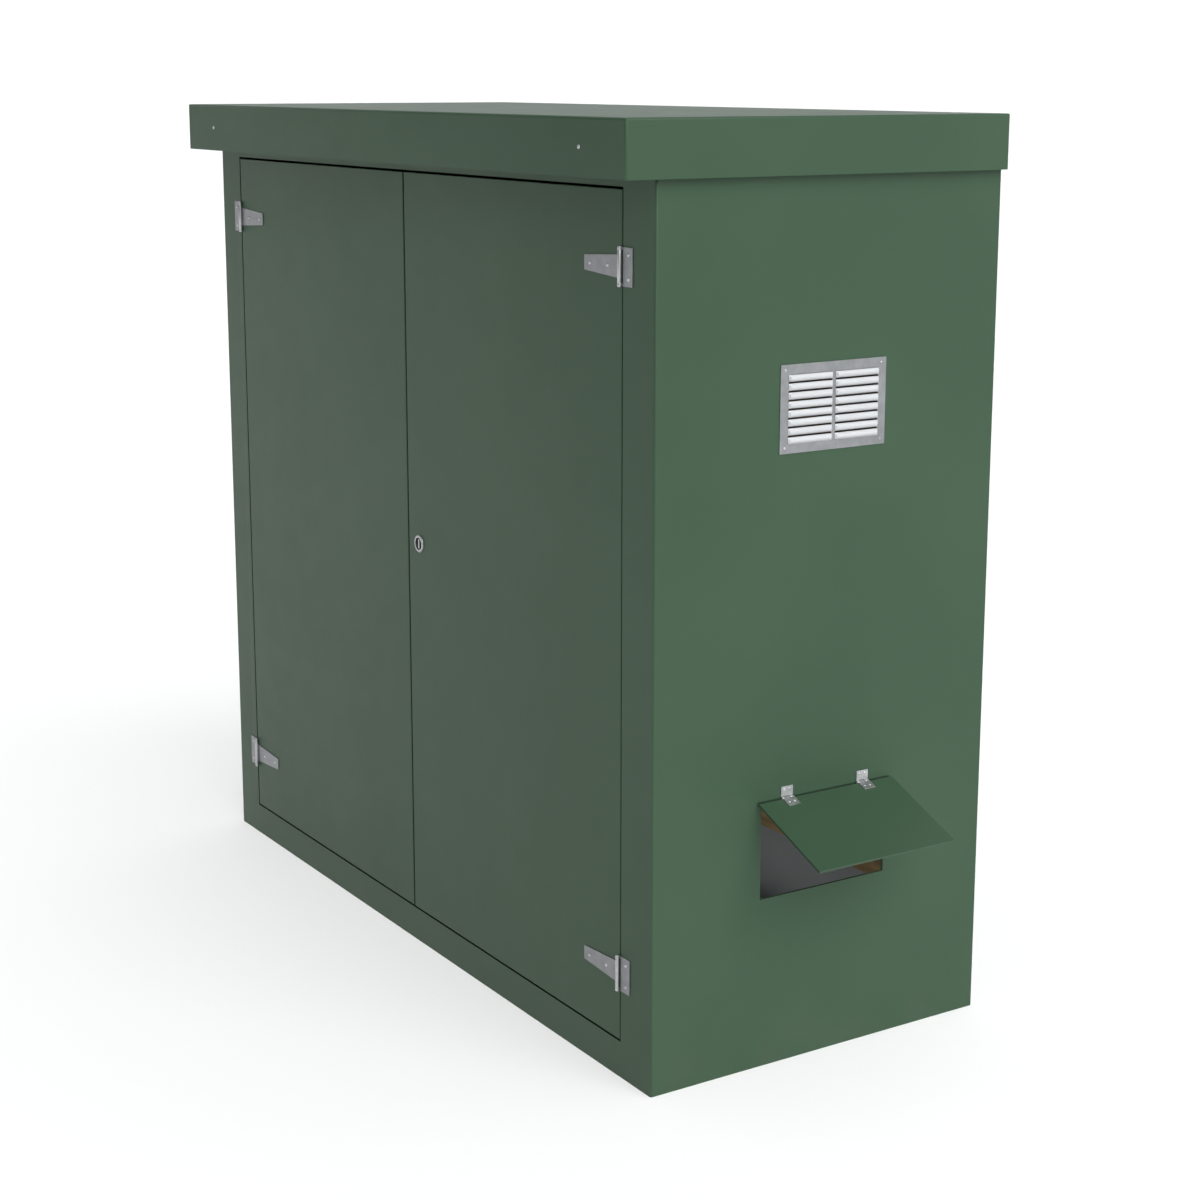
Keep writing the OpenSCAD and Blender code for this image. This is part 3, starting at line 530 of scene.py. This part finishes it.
coats = ("green_gel_coat", "grey_flow_coat", "painted_shade_gel_coat")
soften("body_moulding", "body_shell", 1.0 * MM, coats, shell_finish)
soften("roof_moulding", "roof_cap", 1.2 * MM, coats, roof_finish)
soften("left_door_moulding", "left_door", 0.8 * MM, coats, door_finish)
soften("right_door_moulding", "right_door", 0.8 * MM, coats, door_finish)
soften("flap_panel", "cable_flap", 1.0 * MM, coats[:1], None, 3)
for node in ("lock_housing", "lock_spindle"):
    soften(node + "_rounded", node, 0.3 * MM, ("lock_zinc", "lock_recess_painted_shade"), lock_finish)
for height in ("upper", "lower"):
    for side in ("left", "right"):
        for leaf in ("plate", "strap"):
            node = f"{height}_{side}_hinge_{leaf}"
            soften(node + "_rounded", node, 0.25 * MM, ("hinge_zinc", "bright_zinc"), hinge_finish)
for end in ("front", "rear"):
    for leaf in ("wall_leaf", "flap_leaf"):
        node = f"{end}_flap_hinge_{leaf}"
        soften(node + "_rounded", node, 0.2 * MM, ("bright_zinc",))


# ---------------------------------------------------------------- vent

LOUVRE_ROWS = 8
LOUVRE_PITCH = 15.44 * MM
LOUVRE_HEIGHT = 11.2 * MM
LOUVRE_END = 2.4 * MM               # over which a blade's end rises from the plate
BANK_RISE = 58.75 * MM              # the vent's middle to the first blade's top
COLUMN_INNER = 4 * MM               # the vent's middle to a column's near and far ends
COLUMN_OUTER = 97.7 * MM
VENT_THICKNESS = 0.9 * MM
BLADE_TOP_TURN = math.radians(50)   # how far a blade leans back at its top and its bottom
BLADE_BOTTOM_TURN = math.radians(62)


def louvre_recipe():
    """A bank of bowed blades with closed ends, set in the windows of a plate."""
    graph, given = start_recipe("louvre_bank", ("Length", "Height", "Bow", "End", "Pitch", "Aside",
                                                "Top", "Face", "Columns", "Rows"))
    blade, across, along = graph.sheet(39, 13)
    turn = BLADE_TOP_TURN - along * (BLADE_TOP_TURN + BLADE_BOTTOM_TURN)
    radius = given["Height"] / (math.sin(BLADE_TOP_TURN) + math.sin(BLADE_BOTTOM_TURN))
    from_end = graph.math("MINIMUM", across, 1 - across) * given["Length"]
    rise = graph.math("MINIMUM", from_end / given["End"], 1.0)
    flat = math.cos(BLADE_TOP_TURN)
    out = (graph.math("COSINE", turn) - flat) / (1 - flat) * given["Bow"] * rise
    down = (math.sin(BLADE_TOP_TURN) - graph.math("SINE", turn)) * radius
    bent = graph.bend(blade, graph.vector(out, (across - 0.5) * given["Length"], 0 - down))
    places, column, row = graph.sheet(given["Columns"], given["Rows"])
    spread = graph.vector(given["Face"], (column - 0.5) * given["Aside"] * 2,
                          given["Top"] - row * (given["Rows"] - 1) * given["Pitch"])
    bank = graph.node("GeometryNodeInstanceOnPoints", None,
                      {"Points": graph.bend(places, spread), "Instance": bent}, output="Instances")
    return end_recipe(graph, graph.join(given["Geometry"], bank), given)


def windowed_plate(name, face, across, up):
    """A flat plate at x = face. Every second cell of its middle row is a window."""
    corners = [(face, y, z) for z in up for y in across]
    width = len(across)
    cells = [(row, column) for row in range(len(up) - 1) for column in range(width - 1)
             if not (row == 1 and column in (1, 3))]
    faces = [(row * width + column, row * width + column + 1,
              (row + 1) * width + column + 1, (row + 1) * width + column) for row, column in cells]
    mesh = bpy.data.meshes.new(name)
    mesh.from_pydata(corners, [], faces)
    return mesh


def blade_finish(centre, normal, bottom, top):
    """Plain plate, painted highlight on the blades' outsides and painted shade on their backs."""
    on_blade = COLUMN_INNER < abs(centre.y) < COLUMN_OUTER and bottom < centre.z < top
    if not on_blade:
        return 0
    return 1 if normal.x > 0.1 else 2


def make_vent():
    """The pressed aluminium vent: one sheet with two columns of eight louvres."""
    low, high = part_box("vent_louvre")
    front = shell_high.x + VENT_SHEET
    top = (low.z + high.z) / 2 + BANK_RISE
    bottom = top - (LOUVRE_ROWS - 1) * LOUVRE_PITCH - LOUVRE_HEIGHT
    across = (low.y, -COLUMN_OUTER, -COLUMN_INNER, COLUMN_INNER, COLUMN_OUTER, high.y)
    plate = windowed_plate("vent_panel", front, across, (low.z, bottom, top, high.z))
    sizes = {"Length": COLUMN_OUTER - COLUMN_INNER, "Height": LOUVRE_HEIGHT,
             "Bow": high.x - front, "End": LOUVRE_END, "Pitch": LOUVRE_PITCH,
             "Aside": (COLUMN_OUTER + COLUMN_INNER) / 2, "Top": top, "Face": front,
             "Columns": 2.0, "Rows": float(LOUVRE_ROWS)}
    panel = follow_recipe("vent_panel", plate, louvre_recipe(), sizes, "vent_aluminium")
    sheet = panel.modifiers.new("sheet", "SOLIDIFY")
    sheet.thickness = VENT_THICKNESS
    sheet.offset = -1
    settle(panel)
    panel.data.materials.clear()
    for finish in ("vent_aluminium", "painted_highlight_aluminium", "louvre_shade"):
        panel.data.materials.append(finishes[finish])
    # Blade outsides get a painted highlight and blade backs painted shade
    for face in panel.data.polygons:
        face.material_index = blade_finish(face.center, face.normal, bottom, top)
    shade_round(panel.data)
    put(panel, body_of["vent_louvre"], slot_of["vent_louvre"], "vent_louvre")


# ----------------------------------------------------------- fasteners

SHANK_SHARE = 0.58                  # of the head's radius
RIM_SHARE = 0.2                     # of the way over a head, from its middle out to its rim
RECESS_LENGTH, RECESS_WIDTH = 1.15, 0.26    # of a cross recess, as shares of the head's radius
NUT_CORNER_SHARE = 0.822            # the chamfering ball's radius across, of the width over flats
NUT_FACE_SHARE = 0.62               # and its radius along the bore, of the nut's thickness
NUT_BORE_SHARE = 0.31               # the bore's radius, of the width over flats


def loose_parts(mesh):
    """The separate solids of a mesh, each as its vertices' places and its largest face."""
    work = bmesh.new()
    work.from_mesh(mesh)
    left = set(work.verts)
    parts = []
    while left:
        group = set()
        found = [left.pop()]
        while found:
            vertex = found.pop()
            group.add(vertex)
            near = {edge.other_vert(vertex) for edge in vertex.link_edges} & left
            left -= near
            found.extend(near)
        widest = max({face for vertex in group for face in vertex.link_faces},
                     key=lambda face: face.calc_area())
        parts.append(([vertex.co.copy() for vertex in group], widest.normal.copy()))
    work.free()
    return parts


def seats_mesh(name, seats):
    """A point for each fastener, with the way that it faces."""
    mesh = bpy.data.meshes.new(name)
    mesh.from_pydata([place for place, way in seats], [], [])
    ways = mesh.attributes.new("way", "FLOAT_VECTOR", "POINT")
    for index, (place, way) in enumerate(seats):
        ways.data[index].vector = way
    return mesh


def on_seats(graph, given, fastener, random_turn):
    """One fastener on each point, turned the way that the point says."""
    way = graph.node("GeometryNodeInputNamedAttribute", {"data_type": "FLOAT_VECTOR"},
                     {"Name": "way"})
    turn = graph.node("FunctionNodeAlignRotationToVector", {"axis": "Z"}, {"Vector": way})
    placed = graph.node("GeometryNodeInstanceOnPoints", None,
                        {"Points": given["Geometry"], "Instance": fastener, "Rotation": turn},
                        output="Instances")
    if not random_turn:
        return placed
    spin = graph.node("FunctionNodeRandomValue", {"data_type": "FLOAT"},
                      {"Min": 0.0, "Max": math.pi, "Seed": 7}, output=1)
    return graph.node("GeometryNodeRotateInstances", None,
                      {"Instances": placed, "Rotation": graph.vector(0.0, 0.0, spin)})


def screw_recipe(name, recessed):
    """A domed head on a shank, with a cross recess or plain."""
    graph, given = start_recipe(name, ("Head", "Rise", "Shank", "Reach"))
    skin, across, along = graph.sheet(29, 11)
    turn = across * (2 * math.pi)
    past_rim = graph.math("MAXIMUM", (along - RIM_SHARE) / (1 - RIM_SHARE), 0.0)
    climb = past_rim * (math.pi / 2)
    to_rim = graph.math("MINIMUM", along / RIM_SHARE, 1.0)
    spread = to_rim * graph.math("COSINE", climb) * given["Head"]
    dome = graph.bend(skin, graph.vector(spread * graph.math("COSINE", turn),
                                         spread * graph.math("SINE", turn),
                                         graph.math("SINE", climb) * given["Rise"]))
    head = graph.node("GeometryNodeMergeByDistance", None,
                      {"Geometry": dome, "Distance": 0.01 * MM})
    if recessed:
        for long_x, long_y in ((RECESS_LENGTH, RECESS_WIDTH), (RECESS_WIDTH, RECESS_LENGTH)):
            bar = graph.node("GeometryNodeMeshCube", None,
                             {"Size": graph.vector(given["Head"] * long_x, given["Head"] * long_y,
                                                   given["Rise"] * 1.1)})
            raised = graph.node("GeometryNodeTransform", None,
                                {"Geometry": bar,
                                 "Translation": graph.vector(0.0, 0.0, given["Rise"])})
            head = graph.cut(head, raised)
    shank = graph.node("GeometryNodeMeshCylinder", {"fill_type": "NGON"},
                       {"Vertices": 20, "Radius": given["Shank"], "Depth": given["Reach"]})
    lowered = graph.node("GeometryNodeTransform", None,
                         {"Geometry": shank,
                          "Translation": graph.vector(0.0, 0.0, given["Reach"] * -0.5)})
    screw = graph.join(head, lowered)
    return end_recipe(graph, on_seats(graph, given, screw, recessed), given)


def nut_recipe():
    """A hexagon nut with chamfered corners and a bore."""
    graph, given = start_recipe("hexagon_nuts", ("Flats", "Thickness"))
    flats, thickness = given["Flats"], given["Thickness"]
    prism = graph.node("GeometryNodeMeshCylinder", {"fill_type": "NGON"},
                       {"Vertices": 6, "Radius": flats * (1 / math.sqrt(3)), "Depth": thickness})
    ball = graph.node("GeometryNodeMeshUVSphere", None,
                      {"Segments": 36, "Rings": 24, "Radius": 1.0})
    corner = flats * NUT_CORNER_SHARE
    rounding = graph.node("GeometryNodeTransform", None,
                          {"Geometry": ball,
                           "Scale": graph.vector(corner, corner, thickness * NUT_FACE_SHARE)})
    meeting = graph.tree.nodes.new("GeometryNodeMeshBoolean")
    meeting.operation = "INTERSECT"
    meeting.solver = "EXACT"
    graph.tree.links.new(prism.socket, meeting.inputs["Mesh 2"])
    graph.tree.links.new(rounding.socket, meeting.inputs["Mesh 2"])
    bore = graph.node("GeometryNodeMeshCylinder", {"fill_type": "NGON"},
                      {"Vertices": 24, "Radius": flats * NUT_BORE_SHARE,
                       "Depth": thickness * 2})
    nut = graph.cut(Value(graph, meeting.outputs["Mesh"]), bore)
    return end_recipe(graph, on_seats(graph, given, nut, False), given)


def span(places, way):
    """How far a solid reaches along a direction, from lowest to highest."""
    reach = [place.dot(way) for place in places]
    return min(reach), max(reach)


def make_screws(node, tree):
    """Domed screws or bolts in place of a CAD node's own, which all have one size."""
    seats = []
    for places, down in loose_parts(merged_copy(node)):
        way = -down
        middle = sum(places, Vector()) / len(places)
        low, high = span(places, way)
        aside = way.orthogonal().normalized()
        head = max(abs((place - middle).dot(aside)) for place in places)
        rise = head / 2
        seats.append((middle + way * (high - rise - middle.dot(way)), way))
    sizes = {"Head": head, "Rise": rise, "Shank": head * SHANK_SHARE, "Reach": high - low - rise}
    name = node + "_turned"
    piece = follow_recipe(name, seats_mesh(name, seats), tree, sizes, slot_of[node])
    shade_round(piece.data)
    put(piece, body_of[node], slot_of[node], node)


def make_nuts(node, tree):
    """Hexagon nuts in place of a CAD node's own, which all have one size."""
    seats = []
    for places, way in loose_parts(merged_copy(node)):
        low, high = span(places, way)
        reaches = [span(places, Vector(axis)) for axis in ((1, 0, 0), (0, 1, 0), (0, 0, 1))]
        seats.append((Vector([(near + far) / 2 for near, far in reaches]), way))
        flats = sorted(far - near for near, far in reaches)[1]
    name = node + "_chamfered"
    piece = follow_recipe(name, seats_mesh(name, seats), tree,
                          {"Flats": flats, "Thickness": high - low}, slot_of[node])
    shade_round(piece.data, 20)
    put(piece, body_of[node], slot_of[node], node)


make_vent()
plain_bolts = screw_recipe("domed_bolts", False)
cross_screws = screw_recipe("cross_screws", True)
hexagon_nuts = nut_recipe()
for node in ("hinge_plate_bolts", "left_strap_bolts", "right_strap_bolts", "roof_edge_screws"):
    make_screws(node, plain_bolts)
for node in ("vent_screws", "flap_screws", "flap_wall_screws", "bolt_bracket_screws"):
    make_screws(node, cross_screws)
for node in ("hinge_plate_nuts", "left_strap_nuts", "right_strap_nuts", "roof_nuts",
             "backboard_nuts"):
    make_nuts(node, hexagon_nuts)

# What the pieces so far don't stand for keeps its shape and gets small rounded edges
stood_for = {node for piece in bpy.data.objects for node in piece.get("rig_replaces", [])}
for node in sorted(set(nodes) - stood_for):
    soften(node + "_rounded", node, 0.25 * MM, (slot_of[node],))


# ------------------------------------------------------ floor and light

FLOOR_REACH = 400                   # so far that its edge is lost in the backdrop
FLOOR_DROP = 0.5 * MM


def make_floor():
    mesh = bpy.data.meshes.new("floor")
    corners = [(x * FLOOR_REACH, y * FLOOR_REACH, 0) for x, y in ((-1, -1), (1, -1), (1, 1), (-1, 1))]
    mesh.from_pydata(corners, [], [(0, 1, 2, 3)])
    floor = add_object("floor", mesh)
    floor.location.z = -FLOOR_DROP
    mesh.materials.append(pale_floor())
    return floor


def make_world():
    """A white backdrop. It lights the cabinet as a sky that is dim in front of the doors."""
    world = bpy.data.worlds.new("studio")
    world.use_nodes = True
    bpy.context.scene.world = world
    graph = Graph(world.node_tree)
    direction = graph.node("ShaderNodeTexCoord", output="Generated")
    behind = graph.ramp(graph.part(direction, "Y"), -0.55, 0.35)
    horizon = graph.mix(behind, grey(0.04), grey(1.65))
    dome = graph.mix(behind, grey(0.33), colour_of(0.54, 0.55, 0.56))
    sky = graph.mix(graph.ramp(graph.part(direction, "Z"), 0.04, 0.22), horizon, dome)
    seen = graph.node("ShaderNodeLightPath", output="Is Camera Ray")
    background = world.node_tree.nodes["Background"]
    graph.tree.links.new(graph.mix(seen, sky, grey(1.2)).socket, background.inputs["Color"])


SUN_WAY = Vector((-0.75, 0.05, -0.66))
SUN_SPREAD = math.radians(60)


def make_sun(name, energy, floor, on_floor):
    """A wide soft light, high on the right, for the floor alone or for all but the floor."""
    data = bpy.data.lights.new(name, "SUN")
    data.energy = energy
    data.angle = SUN_SPREAD
    data.use_shadow = not on_floor
    light = bpy.data.objects.new(name, data)
    light.rotation_euler = SUN_WAY.to_track_quat("-Z", "Y").to_euler()
    bpy.context.scene.collection.objects.link(light)
    lit = bpy.data.collections.new(name + "_reach")
    lit.objects.link(floor)
    lit.collection_objects[0].light_linking.link_state = "INCLUDE" if on_floor else "EXCLUDE"
    light.light_linking.receiver_collection = lit


def make_inside_lamp():
    """A faint lamp half way up inside, so that the low part of the board and walls shows."""
    data = bpy.data.lights.new("inside", "AREA")
    data.energy = 0.7
    data.size = 0.4
    lamp = bpy.data.objects.new("inside", data)
    lamp.location = (0.3, -0.1, shell_high.z / 2)
    lamp.visible_camera = False
    bpy.context.scene.collection.objects.link(lamp)


CAMERA_PLACE = Vector((3.8769, -2.3963, 1.7525))
CAMERA_WAY = Vector((-0.8255, 0.52767, -0.20029))
CAMERA_ROLL = math.radians(0.076)
CAMERA_SENSOR, CAMERA_LENS = 36, 66.94      # millimetres
CAMERA_SHIFT = -0.0584


def make_camera():
    data = bpy.data.cameras.new("camera")
    data.sensor_width = CAMERA_SENSOR
    data.lens = CAMERA_LENS
    data.shift_y = CAMERA_SHIFT
    data.clip_end = 1000
    camera = bpy.data.objects.new("camera", data)
    camera.matrix_world = (Matrix.Translation(CAMERA_PLACE)
                           @ CAMERA_WAY.to_track_quat("-Z", "Y").to_matrix().to_4x4()
                           @ Matrix.Rotation(CAMERA_ROLL, 4, "Z"))
    bpy.context.scene.collection.objects.link(camera)
    bpy.context.scene.camera = camera


ground = make_floor()
make_world()
make_sun("key", 3.2, ground, False)
make_sun("floor_key", 3.7, ground, True)
make_inside_lamp()
make_camera()
bpy.context.scene.view_settings.view_transform = "Standard"
